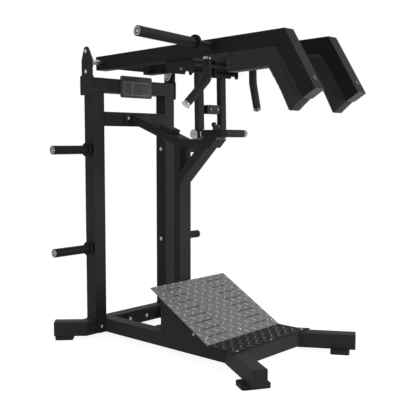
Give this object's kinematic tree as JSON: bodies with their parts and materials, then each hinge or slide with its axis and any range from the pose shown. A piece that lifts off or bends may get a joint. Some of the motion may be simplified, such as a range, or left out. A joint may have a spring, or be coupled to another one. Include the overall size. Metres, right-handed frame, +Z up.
{
  "type": "standing hack squat machine",
  "caption": "Standing squat machine: a steel frame on splayed feet, an inclined foot plate, a rear-pivoted lever with shoulder pads and weight horns, and a swinging catch",
  "frame": {"origin": "on the floor under the middle of the machine's bounding box", "axes": "X across the machine with the user's right hand at +X, facing the frame, -Y to the front where the user stands, +Z up"},
  "size_m": [1.51, 1.651, 1.7145],
  "materials": {
    "frame_paint": "satin black powder coat",
    "plate_paint": "satin black powder coat on laser-cut plate",
    "horn_paint": "gloss black paint on round tube",
    "rubber": "matt black moulded rubber",
    "cast_housing": "silver-grey painted casting",
    "placard_plastic": "dark moulded plate",
    "placard_panel": "grey printed panels",
    "chrome": "polished chrome plate",
    "tread_plate": "bright raised-pattern tread plate",
    "tread_dark": "dark grey raised-pattern tread plate",
    "bright_steel": "bright ground steel",
    "vinyl": "black upholstery vinyl over foam",
    "board": "black-stained plywood",
    "grip_rubber": "black rubber sleeve",
    "cap_plate": "grey closing plate",
    "block_plastic": "black plastic bumper block"
  },
  "bodies": {
    "root": {"rear_beam": "frame_paint", "rear_foot_left": "frame_paint", "rear_foot_right": "frame_paint", "side_beam_left": "frame_paint", "side_beam_right": "frame_paint", "beam_flanges": "plate_paint", "front_beam": "frame_paint", "front_foot_left": "frame_paint", "front_foot_right": "frame_paint", "cross_beam": "frame_paint", "rubber_feet": "rubber", "upright_left": "frame_paint", "upright_right": "frame_paint", "top_beam": "frame_paint", "second_beam": "frame_paint", "bearing_plate_left": "plate_paint", "bearing_plate_right": "plate_paint", "bearing_housings": "cast_housing", "column": "frame_paint", "arm_flange": "plate_paint", "support_arm": "frame_paint", "brace": "frame_paint", "stop_block": "rubber", "catch_sleeve": "plate_paint", "placard_plate": "placard_plastic", "placard_panels": "placard_panel", "storage_horns": "horn_paint", "storage_caps": "chrome", "foot_plate": "tread_plate", "step_plate": "tread_dark", "side_panels": "frame_paint", "plate_posts": "frame_paint", "frame_bolts": "chrome", "tube_caps": "cap_plate"},
    "lever": {"lever_arm_left": "frame_paint", "lever_arm_right": "frame_paint", "lever_legs": "frame_paint", "pivot_shaft": "bright_steel", "pivot_tube": "frame_paint", "lever_crossbar": "frame_paint", "latch_channel": "plate_paint", "latch_plates": "plate_paint", "latch_hook": "plate_paint", "pad_left": "vinyl", "pad_right": "vinyl", "pad_boards": "board", "lever_horns": "horn_paint", "lever_horn_caps": "chrome", "grips": "grip_rubber", "grip_trim": "chrome", "arm_end_caps": "cap_plate"},
    "catch": {"catch_bars": "frame_paint", "catch_rail": "plate_paint", "catch_block": "block_plastic", "catch_hubs": "plate_paint", "catch_shaft": "bright_steel", "catch_rest": "frame_paint", "catch_handle": "horn_paint", "catch_grip": "grip_rubber", "catch_trim": "chrome"}
  },
  "joints": [
    {"name": "lever_pivot", "type": "hinge", "parent": "root", "child": "lever", "pos_m": [0, 0.68108, 1.629], "axis": [1, 0, 0], "range_deg": [0, 25]},
    {"name": "catch_swing", "type": "hinge", "parent": "root", "child": "catch", "pos_m": [0, 0.03108, 1.2085], "axis": [1, 0, 0], "range_deg": [-79.5, 0]}
  ],
  "couplings": [
    {"joint": "catch_swing", "follows": "lever_pivot", "ratio": -3.18}
  ]
}
